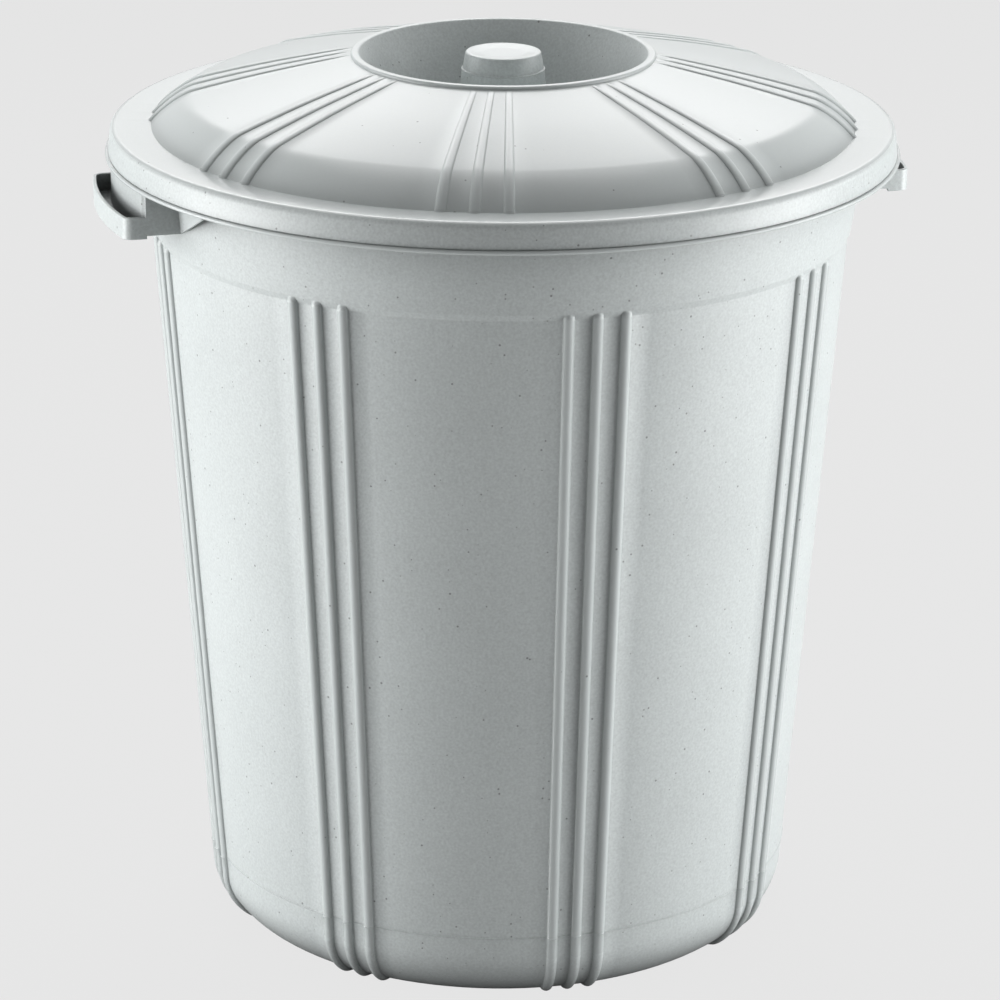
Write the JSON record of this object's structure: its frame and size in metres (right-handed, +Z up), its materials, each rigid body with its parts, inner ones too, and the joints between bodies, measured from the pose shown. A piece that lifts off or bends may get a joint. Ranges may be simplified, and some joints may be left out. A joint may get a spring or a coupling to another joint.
{
  "type": "trash can",
  "caption": "Round household trash can: a tapered ribbed bucket with channel handles on its rim and a loose domed lid with a sunk knob.",
  "frame": {"origin": "centre of the bucket's foot, on the floor", "axes": "+Z up along the bucket's axis, +X towards the right handle"},
  "size_m": [0.5172, 0.506, 0.573],
  "materials": {
    "bucket_plastic": "satin moulded plastic, light grey",
    "lid_plastic": "glossy moulded plastic, light grey"
  },
  "bodies": {
    "bucket": {"bucket": "bucket_plastic", "left_handle": "bucket_plastic", "right_handle": "bucket_plastic"},
    "lid": {"lid": "lid_plastic", "knob": "lid_plastic"}
  },
  "joints": [
    {"name": "lid_lift", "type": "slide", "parent": "bucket", "child": "lid", "axis": [0, 0, 1], "range_m": [0, 0.4]}
  ]
}
